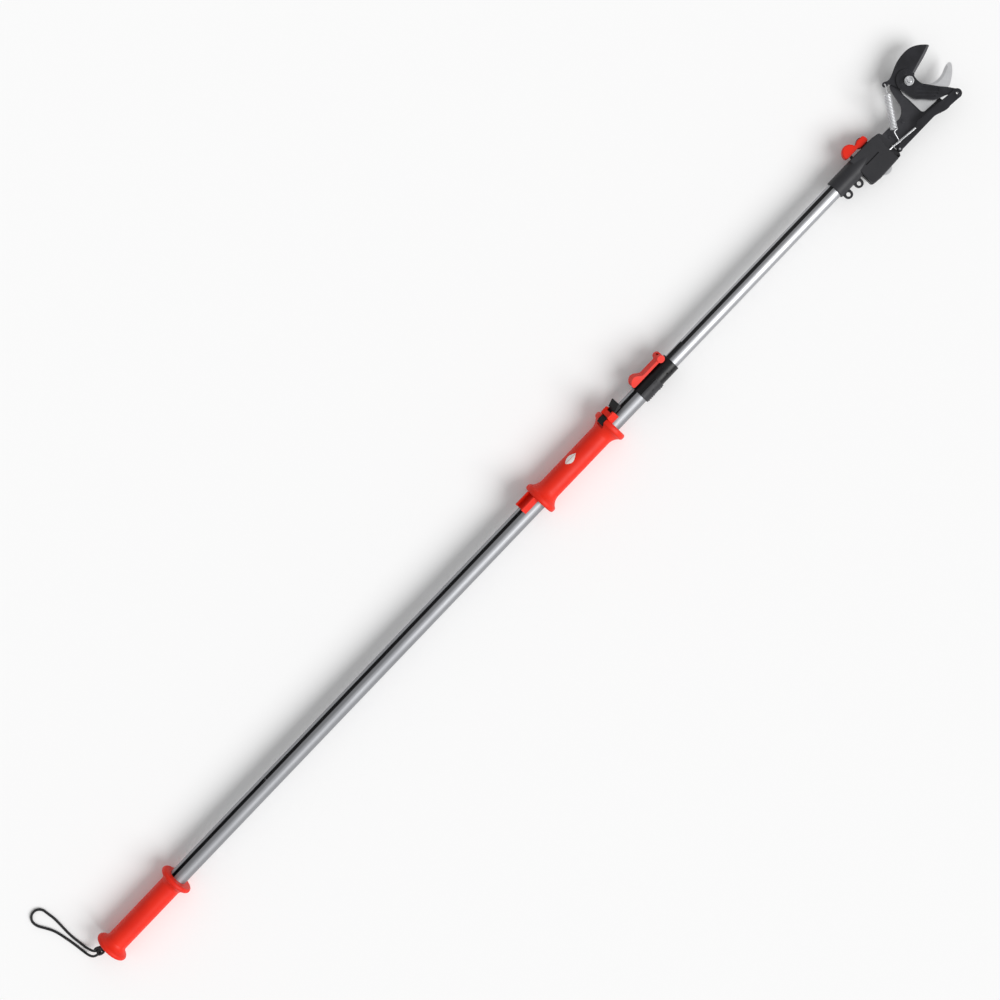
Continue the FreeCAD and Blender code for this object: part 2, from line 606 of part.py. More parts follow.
def guide_pulley():
    """Wheel with a round groove for the strap's bend."""
    x, y = PULLEY
    low, high = PULLEY_Z
    middle = (low + high) / 2
    face = outline(
        (AXLE_R + RUNNING, low), (PULLEY_R, low),
        ("curve", (PULLEY_R - 0.4, low + 1.0), (PULLEY_R - 2.6, middle),
         (PULLEY_R - 0.4, high - 1.0), (PULLEY_R, high)),
        (AXLE_R + RUNNING, high),
    )
    wheel = face.revolve(START, V(0, 1, 0), 360)
    wheel.rotate(START, ALONG, 90)
    wheel.translate(V(x, y, 0))
    return wheel


def housing_lever_pin():
    return post(HOUSING_LEVER_PIN, LEVER_PIN_R, -7.4, 6.1)


def pulley_axle():
    return post(PULLEY, AXLE_R, -HOUSING_Z + 1, PULLEY_Z[1] + 0.4)


# ---- Cutting head ----------------------------------------------------------------------------

def head_frame():
    """Stamped steel plate from the housing to the blade pivot."""
    face = outline(
        (1676, -15.1),
        (1698.5, -15.1),
        (1698.5, -24.0),
        (1760.0, -26.5),
        (1792.0, -28.5),
        ("arc", (1795.2, -27.4), (1795.8, -24.0)),
        (1795.0, -15.0),
        ("curve", (1790.0, 4.0), (1788.0, 18.0), (1788.6, 30.0)),
        ("arc", (1783.0, 42.0), (1770.0, 47.0)),
        (1758.5, 48.0),
        ("curve", (1755.1, 44.7), (1752.9, 38.7), (1750.0, 25.7), (1746.6, 14.4), (1738.9, 6.6),
         (1726.1, 5.0)),
        (1710, 6.1),
        (1676, 6.4),
    )
    frame = plate(face, FRAME_Z)
    frame = frame.cut(post(PIVOT, PIVOT_R, -20, 20))
    for rivet in (*FRAME_RIVETS, COUNTER_RIVET):
        frame = frame.cut(post(rivet, RIVET_R, -20, 20))
    return frame


def counter_blade():
    """Fixed hooked blade, which holds the branch against the cutting blade."""
    face = outline(
        (1761.8, 16),
        (1761.8, -9.6),
        ("arc", (1762.9, -13.2), (1766.2, -15.2)),
        (1785, -16.8),
        (1806, -15.8),
        (1818.1, -15.0),
        ("curve", (1829.1, -8.5), (1837.2, -1.6), (1842.1, 5.2)),
        ("arc", (1841.4, 8.4), (1837.6, 9.4)),
        ("curve", (1830.8, 8.0), (1822.3, 4.6), (1813.0, 3.5), (1802.0, 5.9), (1793.6, 12.1),
         (1789.7, 21.0), (1791.4, 31.0)),
        ("arc", (1786.5, 41.5), (1776.0, 43.6)),
        ("curve", (1765.5, 36.0), (1761.8, 16)),
    )
    counter = plate(face, COUNTER_Z).cut(post(PIVOT, PIVOT_R, -20, 20))
    counter = counter.cut(post(COUNTER_RIVET, RIVET_R, -20, 20))
    throat = [
        e for e in counter.Edges
        if at_height(COUNTER_Z[1])(e) and e.Length > 60 and e.BoundBox.YMin > 3
    ]
    return counter.makeChamfer(*COUNTER_BEVEL, throat)


def rivet(point, top):
    """A rivet with a flat head under the frame plate, and its end at a height."""
    head = post(point, RIVET_HEAD_R, FRAME_Z[0] - RIVET_HEAD, FRAME_Z[0])
    return post(point, RIVET_R, FRAME_Z[0], top).fuse(head)


def counter_rivet():
    """Rivet that holds the counter-blade, flush under the moving blade."""
    return rivet(COUNTER_RIVET, COUNTER_Z[1]).removeSplitter()


def frame_rivets():
    """Domed rivets of the frame plate."""
    top = FRAME_Z[1]
    result = []
    for point in FRAME_RIVETS:
        dome = post(point, RIVET_HEAD_R, top, top + RIVET_HEAD)
        dome = softened(dome, 0.7, at_height(top + RIVET_HEAD))
        result.append(rivet(point, top).fuse(dome).removeSplitter())
    return result


def spring_rod():
    (x0, y0), (x1, y1) = ROD_ENDS
    return rod(V(x0, y0, ROD_Z), V(x1, y1, ROD_Z), ROD_R)


def pivot_bolt():
    """Bolt through the frame, counter-blade and blade: round head below, thread above."""
    under, end = FRAME_Z[0] - PIVOT_HEAD, NUT_Z[1] - 0.2
    head = softened(post(PIVOT, PIVOT_HEAD_R, under, FRAME_Z[0]), 1.0, at_height(under))
    shank = post(PIVOT, PIVOT_R, FRAME_Z[0], WASHER_Z[0])
    thread = softened(post(PIVOT, THREAD_R, WASHER_Z[0], end), 0.7, at_height(end))
    return head.fuse(shank).fuse(thread).removeSplitter()


def pivot_washer():
    return post(PIVOT, WASHER_R, *WASHER_Z).cut(post(PIVOT, THREAD_R, 0, 20))


def pivot_nut():
    """Hexagon nut with its corners taken off and a countersunk bore."""
    low, high = NUT_Z
    points = []
    for i in range(6):
        turn = FreeCAD.Rotation(UP, 60 * i + 14)
        points.append(v(PIVOT) + turn.multVec(V(NUT_CORNER_R, 0, 0)))
    nut = plate(Part.Face(Part.makePolygon([*points, points[0]])), NUT_Z)
    crown = Part.makeCone(10.0, 5.7, high - low, V(*PIVOT, low), UP)
    sink = Part.makeCone(THREAD_R, THREAD_R + 1.6, 1.9, V(*PIVOT, high - 1.9), UP)
    return nut.common(crown).cut(post(PIVOT, THREAD_R, 0, 20)).cut(sink)


def edge_wedge(a, b, bevel):
    """Wedge whose removal bevels the top of the blade on the left of the line from a to b."""
    width, depth = bevel
    top = BLADE_Z[1]
    face = Part.Face(Part.makePolygon([
        V(0, 3, top - depth), V(0, 0, top - depth), V(0, -width, top),
        V(0, -width, top + 1), V(0, 3, top + 1), V(0, 3, top - depth),
    ]))
    run = v(b) - v(a)
    wedge = face.extrude(V(run.Length, 0, 0))
    wedge.rotate(START, UP, FreeCAD.Rotation(ALONG, run).toEulerAngles("XYZ")[2])
    wedge.translate(v(a))
    return wedge


def cutting_blade():
    """Moving blade with its tail lug for the spring."""
    x, y = TAIL_HOLE
    face = outline(
        (x + 3.0, y - 2.9),
        ("arc", (x - 4.1, y - 0.4), (x + 2.6, y + 3.2)),
        ("curve", (1762.8, 55.2), (1768.0, 56.4), (1780.6, 61.8), (1792.0, 65.4), (1804.0, 66.7),
         (1817.0, 64.9), (1828.6, 58.2), (1837.8, 48.8)),
        ("arc", (1838.0, 47.2), (1836.6, 46.4)),
        ("curve", (1824.0, 42.0), (1809.5, 38.1), (1795.4, 34.6)),
        ("arc", (1791.6, 32.2), (1790.0, 28.0)),
        ("arc", (1780.2, 21.6), (1769.0, 26.0)),
        ("curve", (1763.0, 34.0), (1760.6, 43.0), (x + 3.0, y - 2.9)),
    )
    blade = plate(face, BLADE_Z).cut(edge_wedge((1840.0, 46.8), (1794.0, 33.8), BLADE_BEVEL))
    return blade.cut(post(TAIL_HOLE, TAIL_HOLE_R, 0, 5)).cut(post(PIVOT, PIVOT_R + RUNNING, 0, 5))


def blade_arm():
    """Pressed arm from the blade's hub to the pull bar, with grooves between its ridges."""
    x, y = ARM_PIN
    face = outline(
        (1762.6, 36.0),
        ("curve", (1767.0, 46.0), (1776.0, 51.6), (1786.0, 50.2)),
        ("curve", (1791.6, 44.0), (1791.4, 36.0), (1789.8, 27.0), (1790.0, 19.0), (1793.4, 12.0)),
        (1804.5, -4.7),
        (1813.0, -15.6),
        (x + 6.3, y + 2.6),
        ("arc", (x + 1.4, y - ARM_END_R + 0.1), (x - 5.9, y - 3.4)),
        (x - 6.2, y + 3.6),
        ("curve", (1803.5, -22.2), (1796.0, -19.0), (1787.9, -15.0), (1780.6, -8.0)),
        (1773.8, 0.4),
        ("curve", (1767.0, 8.4), (1764.6, 18.0)),
    )
    arm = plate(face, ARM_Z)
    arm = softened(arm, 0.7, at_height(ARM_Z[1]))
    for a, b in (
        ((1770.6, 8.6), (1789.8, -10.2)),
        ((1775.6, 11.6), (1795.6, -10.6)),
        ((1781.6, 13.2), (1799.8, -8.2)),
        ((1787.0, 12.8), (1802.2, -6.2)),
    ):
        arm = arm.cut(slot(a, b, 1.25, ARM_Z[1] - 1.1))
    arm = arm.cut(post(PIVOT, PIVOT_R + RUNNING, 0, 20))
    for point in ARM_RIVETS:
        arm = arm.cut(post(point, ARM_RIVET_R, 0, 20))
    return arm.cut(post(ARM_PIN, ARM_PIN_R + RUNNING, 0, 20))


def slot(a, b, half, floor):
    """A round-ended groove from a to b, open at the top."""
    start, end = v(a), v(b)
    side = (end - start).cross(UP).normalize() * half
    along = (end - start).normalize() * half
    corners = [start + side, end + side, end - side, start - side]
    far, near = end + along, start - along
    edges = [
        Part.makeLine(corners[0], corners[1]),
        Part.Arc(corners[1], far, corners[2]).toShape(),
        Part.makeLine(corners[2], corners[3]),
        Part.Arc(corners[3], near, corners[0]).toShape(),
    ]
    return plate(Part.Face(Part.Wire(edges)), (floor, floor + 5))


def arm_rivets():
    """Rivets that hold the arm on the blade, flush with the blade's underside."""
    result = []
    for point in ARM_RIVETS:
        head = post(point, 2.8, ARM_Z[1], ARM_Z[1] + 0.6)
        head = softened(head, 0.4, at_height(ARM_Z[1] + 0.6))
        result.append(post(point, ARM_RIVET_R, *ARM_Z).fuse(head).removeSplitter())
    return result


def pull_bar():
    """Long flat bar with a fork at its upper end that straddles the blade arm."""
    x, y = ARM_PIN
    wx, wy = BAR_WHEEL
    tongue = 3.2
    flat = outline(
        (wx, wy - tongue),
        (1766, -30.4),
        ("curve", (1772.0, -31.4), (1780.0, -34.4), (1795.0, -36.6)),
        (x - 3, y - ARM_END_R - 0.2),
        ("arc", (x + ARM_END_R + 0.1, y), (x - 3, y + ARM_END_R)),
        (1795, -22.1),
        (1780, -20.2),
        (1750, -17.7),
        ("curve", (1743.0, -18.4), (1738.5, -23.6)),
        (wx, wy + tongue),
        ("arc", (wx - tongue, wy), (wx, wy - tongue)),
    )
    cheek = outline(
        (1778, -33.8),
        (1795, -36.6),
        (x - 3, y - ARM_END_R - 0.2),
        ("arc", (x + ARM_END_R + 0.1, y), (x - 3, y + ARM_END_R)),
        (1795, -24.0),
        (1778, -23.0),
    )
    upper = softened(plate(flat, BAR_Z), 0.6, at_height(BAR_Z[1]))
    bridge = block((1779, 1787), (-32.6, -24.2), (FORK_Z[1] - 0.5, BAR_Z[0] + 0.5))
    bar = joined(upper, plate(cheek, FORK_Z), bridge)
    bar = bar.cut(post(ARM_PIN, ARM_PIN_R, 0, 20))
    return bar.cut(post(BAR_WHEEL, BAR_WHEEL_PIN_R, 0, 20))


def arm_pin():
    """Hollow pin through the fork and the arm, rolled over at both ends."""
    shank = post(ARM_PIN, ARM_PIN_R, FORK_Z[0], BAR_Z[1])
    rolled = post(ARM_PIN, ARM_PIN_R + 0.8, BAR_Z[1], BAR_Z[1] + 0.6)
    rolled = softened(rolled, 0.4, at_height(BAR_Z[1] + 0.6))
    return shank.fuse(rolled).cut(post(ARM_PIN, ARM_PIN_BORE_R, 0, 20)).removeSplitter()


def bar_wheel():
    """Small wheel under the lower end of the bar that the strap's loop goes round."""
    low, high = BAR_WHEEL_Z
    wheel = post(BAR_WHEEL, BAR_WHEEL_R, low, high)
    groove = Part.makeTorus(BAR_WHEEL_R + 0.3, 1.2, V(*BAR_WHEEL, (low + high) / 2), UP)
    return wheel.cut(groove).cut(post(BAR_WHEEL, BAR_WHEEL_PIN_R + RUNNING, 0, 20))


def bar_wheel_pin():
    pin = post(BAR_WHEEL, BAR_WHEEL_PIN_R, BAR_WHEEL_Z[0] - 0.9, BAR_Z[1])
    head = post(BAR_WHEEL, BAR_WHEEL_PIN_R + 1.2, BAR_WHEEL_Z[0] - 1.3, BAR_WHEEL_Z[0] - 0.3)
    return pin.fuse(head).removeSplitter()


def return_spring():
    """Envelope of the close-wound tension spring, with a wire hook at each end."""
    low = V(*SPRING_ENDS[0], SPRING_Z)
    high = V(*SPRING_ENDS[1], SPRING_Z)
    coil = rod(low, high, SPRING_R).cut(rod(low, high, SPRING_R - 2 * SPRING_WIRE_R))
    cap = (high - low) * 0.03
    caps = [rod(low, low + cap, SPRING_R), rod(high - cap, high, SPRING_R)]
    anchor = V(*SPRING_ANCHOR, ROD_Z)
    tail = V(*TAIL_HOLE, BLADE_Z[0] + 0.5)
    knee = V(SPRING_ANCHOR[0] + 1, SPRING_ANCHOR[1] + 5, 5.0)
    over = V(*TAIL_HOLE, SPRING_Z)
    wires = []
    for path in ((low, knee, V(anchor.x, anchor.y, ROD_Z + ROD_R + 0.5)), (high, over, tail)):
        for a, b in zip(path, path[1:]):
            wires.append(rod(a, b, SPRING_WIRE_R))
        wires.append(Part.makeSphere(SPRING_WIRE_R, path[1]))
    return joined(coil, *caps, *wires)


# ---- Wrist cord ------------------------------------------------------------------------------

def cord_path(route):
    """Straight runs joined by tangent arcs, each as large as its two runs allow."""
    points = [V(*p) for p in route]
    edges, here, radii = [], points[0], []
    for before, corner, after in zip(points, points[1:], points[2:]):
        to_corner, from_corner = corner - before, after - corner
        turn = to_corner.getAngle(from_corner)
        reach = 0.45 * min(to_corner.Length, from_corner.Length)
        radii.append(reach / tan(turn / 2))
        first = corner - to_corner.normalize() * reach
        last = corner + from_corner.normalize() * reach
        towards = ((first + last) * 0.5 - corner).normalize()
        depth = sqrt(reach ** 2 + radii[-1] ** 2) - radii[-1]
        edges.append(Part.makeLine(here, first))
        edges.append(Part.Arc(first, corner + towards * depth, last).toShape())
        here = last
    edges.append(Part.makeLine(here, points[-1]))
    print("cord radii, mm:", [round(r, 1) for r in radii])
    return Part.Wire(edges)


def wrist_cord():
    path = cord_path(CORD_ROUTE)
    start, ahead = V(*CORD_ROUTE[0]), V(*CORD_ROUTE[1]) - V(*CORD_ROUTE[0])
    section = Part.Wire(Part.makeCircle(CORD_R, start, ahead))
    tube = path.makePipeShell([section], True, False)
    expected = pi * CORD_R ** 2 * path.Length
    print(f"cord: {path.Length:.1f} mm long, volume {tube.Volume / expected:.4f} of its section's")
    return tube


def cord_knot():
    """Overhand knot, as a plain rounded lump."""
    ball = Part.makeSphere(1.0)
    matrix = FreeCAD.Matrix()
    matrix.scale(KNOT_HALF)
    lump = ball.transformGeometry(matrix)
    lump.translate(KNOT_CENTRE)
    return lump.common(block((-30, -0.4), (-10, 30), (-20, 20)))


# ---- Output ----------------------------------------------------------------------------------

PIECES = {
    "lower_tube": lower_tube,
    "bottom_grip": bottom_grip,
    "end_plug": end_plug,
    "wrist_cord": wrist_cord,
    "cord_knot": cord_knot,
    "clamp_body": clamp_body,
    "clamp_cover": clamp_cover,
    "clamp_screws": clamp_screws,
    "clamp_collet": clamp_collet,
    "groove_guide": groove_guide,
    "clamp_lever": clamp_lever,
    "clamp_lever_pin": clamp_lever_pin,
    "middle_grip": middle_grip,
    "slide_channel": slide_channel,
    "grip_key": grip_key,
    "strap_rocker": strap_rocker,
    "rocker_pin": rocker_pin,
    "upper_tube": upper_tube,
    "tube_plug": tube_plug,
    "pull_strap": pull_strap,
    "head_socket": head_socket,
    "housing_back": housing_back,
    "housing_cover": housing_cover,
    "housing_screws": housing_screws,
    "housing_lever": housing_lever,
    "housing_lever_pin": housing_lever_pin,
    "guide_pulley": guide_pulley,
    "pulley_axle": pulley_axle,
    "head_frame": head_frame,
    "counter_blade": counter_blade,
    "counter_rivet": counter_rivet,
    "frame_rivets": frame_rivets,
    "spring_rod": spring_rod,
    "pivot_bolt": pivot_bolt,
    "pivot_washer": pivot_washer,
    "pivot_nut": pivot_nut,
    "cutting_blade": cutting_blade,
    "blade_arm": blade_arm,
    "arm_rivets": arm_rivets,
    "pull_bar": pull_bar,
    "arm_pin": arm_pin,
    "bar_wheel": bar_wheel,
    "bar_wheel_pin": bar_wheel_pin,
    "return_spring": return_spring,
}

os.makedirs("parts", exist_ok=True)
for name, make in PIECES.items():
    made = make()
    shape = Part.makeCompound(made) if isinstance(made, list) else made
    if shape.ShapeType == "Compound" and len(shape.Solids) == 1:
        shape = shape.Solids[0]
    shape.translate(ORIGIN)
    box = shape.BoundBox
    print(f"{name}: {len(shape.Solids)} solid(s), valid {shape.isValid()}, "
          f"{shape.Volume / 1000:.2f} cm3, x {box.XMin:.1f} {box.XMax:.1f} "
          f"y {box.YMin:.1f} {box.YMax:.1f} z {box.ZMin:.1f} {box.ZMax:.1f}")
    shape.exportStep(f"parts/{name}.step")
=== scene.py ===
"""Looks of the long-reach telescopic pruner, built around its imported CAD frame.

Lengths written in millimetres are in the part's design frame: X runs along the pole from the
lower end of the bottom grip, Z is up and the pole's axis is Y = Z = 0. at() puts such a point in
the row frame, in metres.
"""

import json
from math import cos, floor, pi, radians, sin

import bpy
from mathutils import Matrix, Vector


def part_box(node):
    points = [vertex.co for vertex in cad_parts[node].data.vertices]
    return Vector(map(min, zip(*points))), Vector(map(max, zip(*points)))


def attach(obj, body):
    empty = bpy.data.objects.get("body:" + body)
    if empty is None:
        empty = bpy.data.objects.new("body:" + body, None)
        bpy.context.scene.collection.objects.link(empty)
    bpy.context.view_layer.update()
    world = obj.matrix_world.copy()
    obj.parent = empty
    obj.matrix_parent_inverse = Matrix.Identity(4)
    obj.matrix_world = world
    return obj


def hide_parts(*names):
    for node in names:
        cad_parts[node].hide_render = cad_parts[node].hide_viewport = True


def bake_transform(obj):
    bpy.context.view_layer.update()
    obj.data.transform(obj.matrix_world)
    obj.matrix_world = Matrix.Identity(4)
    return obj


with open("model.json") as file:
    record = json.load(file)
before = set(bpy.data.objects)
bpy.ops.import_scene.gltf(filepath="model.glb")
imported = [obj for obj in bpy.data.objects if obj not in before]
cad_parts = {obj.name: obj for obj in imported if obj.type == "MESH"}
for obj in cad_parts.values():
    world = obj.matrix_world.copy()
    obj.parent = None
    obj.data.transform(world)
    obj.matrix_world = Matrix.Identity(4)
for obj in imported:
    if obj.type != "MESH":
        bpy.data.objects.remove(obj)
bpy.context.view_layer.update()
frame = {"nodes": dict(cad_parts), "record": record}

MM = 0.001
GRIP_LOW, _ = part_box("bottom_grip")
TUBE_LOW, TUBE_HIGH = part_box("lower_tube")
START = Vector((GRIP_LOW.x, (TUBE_LOW.y + TUBE_HIGH.y) / 2, (TUBE_LOW.z + TUBE_HIGH.z) / 2))


def at(x, y, z=0.0):
    """A point of the design frame, in millimetres, as a point of the row frame in metres."""
    return START + Vector((x, y, z)) * MM


# ---- Camera ----------------------------------------------------------------------------------

FOCAL_MM, SENSOR_MM = 70.2, 36.0
TARGET = (915.5, 42.2, 0.0)
DISTANCE_MM = 2937.0
LEAN = radians(4.0)            # of the view from the vertical, towards the cutting head
ROLL = radians(46.35)          # of the pole in the picture
FARTHEST_SEEN_M = 50

back = Vector((sin(LEAN), 0, cos(LEAN)))
level = Vector((cos(LEAN), 0, -sin(LEAN)))
across = Vector((0, 1, 0))
right = level * cos(ROLL) - across * sin(ROLL)
upward = level * sin(ROLL) + across * cos(ROLL)
camera = bpy.data.objects.new("camera", bpy.data.cameras.new("camera"))
camera.data.lens = FOCAL_MM
camera.data.sensor_width = SENSOR_MM
camera.data.clip_end = FARTHEST_SEEN_M
camera.matrix_world = Matrix.Translation(at(*TARGET) + back * DISTANCE_MM * MM) @ (
    Matrix((right, upward, back)).transposed().to_4x4()
)
bpy.context.scene.collection.objects.link(camera)
bpy.context.scene.camera = camera


# ---- Mesh helpers ----------------------------------------------------------------------------

def show(name, vertices, faces):
    """A new smooth-shaded mesh object."""
    mesh = bpy.data.meshes.new(name)
    mesh.from_pydata(vertices, [], faces)
    mesh.validate()
    mesh.polygons.foreach_set("use_smooth", [True] * len(mesh.polygons))
    made = bpy.data.objects.new(name, mesh)
    bpy.context.scene.collection.objects.link(made)
    return made


def spaced(points, step):
    """Points every step along a polyline, with both its ends."""
    lengths = [0.0]
    for a, b in zip(points, points[1:]):
        lengths.append(lengths[-1] + (b - a).length)
    count = max(2, round(lengths[-1] / step))
    result, i = [], 0
    for k in range(count + 1):
        along = lengths[-1] * k / count
        while i < len(points) - 2 and lengths[i + 1] < along:
            i += 1
        share = (along - lengths[i]) / (lengths[i + 1] - lengths[i])
        result.append(points[i].lerp(points[i + 1], share))
    return result


def sweep(name, path, radius, around, relief=None):
    """A round tube along a path, with so many vertices around it. relief(turn, along) is added to
    the radius, where turn is the share of a full turn about the path and along is the distance
    from its start."""
    vertices, faces = [], []
    tangent = (path[1] - path[0]).normalized()
    side = tangent.orthogonal().normalized()
    along = 0.0
    for i, point in enumerate(path):
        ahead = (path[min(i + 1, len(path) - 1)] - path[max(i - 1, 0)]).normalized()
        side = (side - ahead * side.dot(ahead)).normalized()
        other = ahead.cross(side)
        along += (point - path[i - 1]).length if i else 0.0
        for k in range(around):
            turn = k / around
            r = radius + (relief(turn, along) if relief else 0.0)
            outward = side * cos(2 * pi * turn) + other * sin(2 * pi * turn)
            vertices.append(point + outward * r)
    rows = len(path)
    for i in range(rows - 1):
        for k in range(around):
            a, b = i * around + k, i * around + (k + 1) % around
            faces.append((a, b, b + around, a + around))
    faces.append(tuple(reversed(range(around))))
    faces.append(tuple((rows - 1) * around + k for k in range(around)))
    return show(name, vertices, faces)


def dress(piece, material):
    """Give a new piece its one material."""
    piece.data.materials.append(material)


# ---- Material helpers ------------------------------------------------------------------------

class Shader:
    """A material's node tree, with short calls for its nodes. Noise scales are in waves per metre
    and bump depths in metres."""

    def __init__(self, name, constants):
        self.material = bpy.data.materials.new(name)
        self.material.use_nodes = True
        self.tree = self.material.node_tree
        self.surface = self.tree.nodes["Principled BSDF"]
        for socket, value in constants.items():
            self.surface.inputs[socket].default_value = value
        self.place = self.add("ShaderNodeTexCoord").outputs["Object"]

    def add(self, kind, inputs=None, **settings):
        """A node. An input is the output socket of another node, or a constant."""
        node = self.tree.nodes.new(kind)
        for name, value in settings.items():
            setattr(node, name, value)
        for name, value in (inputs or {}).items():
            if isinstance(value, bpy.types.NodeSocket):
                self.tree.links.new(value, node.inputs[name])
            else:
                node.inputs[name].default_value = value
        return node

    def stretched(self, x, y, z):
        """The piece's own coordinates, scaled along each axis."""
        inputs = {"Vector": self.place, "Scale": (x, y, z)}
        return self.add("ShaderNodeMapping", inputs).outputs["Vector"]

    def noise(self, scale, detail=3.0, where=None, rough=0.55):
        inputs = {"Vector": where or self.place, "Scale": scale, "Detail": detail,
                  "Roughness": rough}
        return self.add("ShaderNodeTexNoise", inputs).outputs["Fac"]

    def level(self, value, low, high, to_low, to_high):
        """The value's range from low to high, stretched to run from to_low to to_high."""
        inputs = {"Value": value, "From Min": low, "From Max": high,
                  "To Min": to_low, "To Max": to_high}
        return self.add("ShaderNodeMapRange", inputs).outputs["Result"]

    def math(self, operation, a, b=0.0):
        return self.add("ShaderNodeMath", {0: a, 1: b}, operation=operation).outputs[0]

    def mixed(self, share, a, b):
        """Colour a where share is 0 and colour b where it is 1."""
        node = self.add("ShaderNodeMix", {"Factor": share}, data_type="RGBA")
        for socket, value in ((node.inputs[6], a), (node.inputs[7], b)):
            if isinstance(value, bpy.types.NodeSocket):
                self.tree.links.new(value, socket)
            else:
                socket.default_value = (*value, 1)
        return node.outputs[2]

    def colour(self, value):
        self.tree.links.new(value, self.surface.inputs["Base Color"])

    def roughness(self, value):
        self.tree.links.new(value, self.surface.inputs["Roughness"])

    def bumps(self, *heights):
        """Bumps of (height, depth in metres), one on top of another."""
        normal = None
        for height, depth in heights:
            inputs = {"Height": height, "Distance": depth, "Strength": 1.0}
            if normal:
                inputs["Normal"] = normal
            normal = self.add("ShaderNodeBump", inputs).outputs["Normal"]
        self.tree.links.new(normal, self.surface.inputs["Normal"])


SINK_DEPTH = 0.00006           # of the broad, shallow waves in a moulded face
SPECK_DEPTH = 0.00003
GRIND_DEPTH = 0.00002


def moulded(name, colour, deep, roughness, grain, grain_depth):
    """Moulded plastic: fine grain, soft mottling and faint scuffs."""
    s = Shader(name, {"Specular IOR Level": 0.28})
    mottle = s.noise(22, 4)
    s.colour(s.mixed(s.level(mottle, 0.3, 0.7, 0, 1), colour, deep))
    scuffs = s.noise(1, 5, s.stretched(60, 420, 420), 0.7)
    rub = s.level(scuffs, 0.58, 0.75, 0, 0.12)
    patches = s.level(s.noise(55, 3), 0.3, 0.7, roughness - 0.05, roughness + 0.06)
    s.roughness(s.math("ADD", patches, rub))
    s.bumps((s.noise(grain, 2), grain_depth), (s.noise(140, 2), SINK_DEPTH))
    return s.material


def drawn(name, colour, deep, roughness, line_depth):
    """Drawn aluminium: fine lines along the pole under a satin oxide."""
    s = Shader(name, {"Metallic": 1.0, "Specular IOR Level": 0.5})
    lines = s.noise(1, 4, s.stretched(3, 1500, 1500), 0.65)
    fine = s.noise(1, 2, s.stretched(10, 5200, 5200))
    cloud = s.noise(9, 4)
    tone = s.math("ADD", s.math("MULTIPLY", lines, 0.6), s.math("MULTIPLY", cloud, 0.4))
    s.colour(s.mixed(s.level(tone, 0.35, 0.65, 0, 1), colour, deep))
    s.roughness(s.level(tone, 0.3, 0.7, roughness - 0.05, roughness + 0.07))
    s.bumps((lines, line_depth), (fine, line_depth * 0.5))
    return s.material


def coated(name, colour, deep, roughness, bevel=None):
    """Dark coating on steel, with faint marks along the piece. bevel is the colour of faces that
    lean, which were ground after the coating."""
    s = Shader(name, {"Metallic": 0.35, "Specular IOR Level": 0.5})
    marks = s.noise(1, 4, s.stretched(90, 700, 700), 0.6)
    speck = s.noise(2600, 2)
    base = s.mixed(s.level(s.noise(60, 4), 0.35, 0.65, 0, 1), colour, deep)
    rough = s.level(marks, 0.3, 0.7, roughness - 0.06, roughness + 0.08)
    if bevel:
        turned = s.add("ShaderNodeTexCoord").outputs["Normal"]
        height = s.add("ShaderNodeSeparateXYZ", {"Vector": turned}).outputs["Z"]
        leans = s.math("LESS_THAN", height, 0.97)
        steep = s.math("MULTIPLY", s.math("GREATER_THAN", height, 0.5), leans)
        grind = s.noise(1, 3, s.stretched(500, 4200, 900), 0.6)
        darker = tuple(0.72 * part for part in bevel)
        ground = s.mixed(s.level(grind, 0.35, 0.65, 0, 1), bevel, darker)
        base = s.mixed(steep, base, ground)
    s.colour(base)
    s.roughness(rough)
    s.bumps((speck, SPECK_DEPTH), (marks, SPECK_DEPTH))
    return s.material


def ground_steel(name, colour, deep, roughness, direction):
    """Bare or plated steel with grinding lines. direction is the stretch of the lines."""
    s = Shader(name, {"Metallic": 1.0, "Specular IOR Level": 0.5})
    lines = s.noise(1, 4, s.stretched(*direction), 0.65)
    cloud = s.noise(70, 3)
    s.colour(s.mixed(s.level(s.math("ADD", lines, cloud), 0.8, 1.2, 0, 1), colour, deep))
    s.roughness(s.level(lines, 0.3, 0.7, roughness - 0.05, roughness + 0.08))
    s.bumps((lines, GRIND_DEPTH))
    return s.material


FIBRE_BLACK = (0.006, 0.006, 0.007)


def woven(name):
    """Black woven tape: ribs across it and fine threads along it."""
    s = Shader(name, {"Specular IOR Level": 0.3, "Sheen Weight": 0.05, "Sheen Roughness": 0.5})
    ribs = s.add("ShaderNodeTexWave", {"Vector": s.place, "Scale": 390.0, "Distortion": 0.6,
                                       "Detail": 1.0, "Detail Scale": 600.0}).outputs["Fac"]
    threads = s.noise(1, 2, s.stretched(700, 4200, 4200))
    s.colour(s.mixed(s.math("MULTIPLY", ribs, threads), FIBRE_BLACK, (0.028, 0.028, 0.03)))
    s.roughness(s.level(threads, 0.3, 0.7, 0.6, 0.8))
    s.bumps((ribs, 0.00018), (threads, 0.00008))
    return s.material


def braided(name):
    """Black polyester braid, whose strands are in the mesh and whose fibres are here."""
    s = Shader(name, {"Specular IOR Level": 0.3, "Sheen Weight": 0.08, "Sheen Roughness": 0.45})
    fibres = s.noise(5200, 3)
    s.colour(s.mixed(s.level(fibres, 0.35, 0.7, 0, 1), FIBRE_BLACK, (0.03, 0.03, 0.032)))
    s.roughness(s.level(fibres, 0.3, 0.7, 0.55, 0.75))
    s.bumps((fibres, 0.00005))
    return s.material


INK_WHITE, INK_THIN = (0.86, 0.85, 0.83), (0.80, 0.70, 0.67)
INK_DEPTH = 0.00002


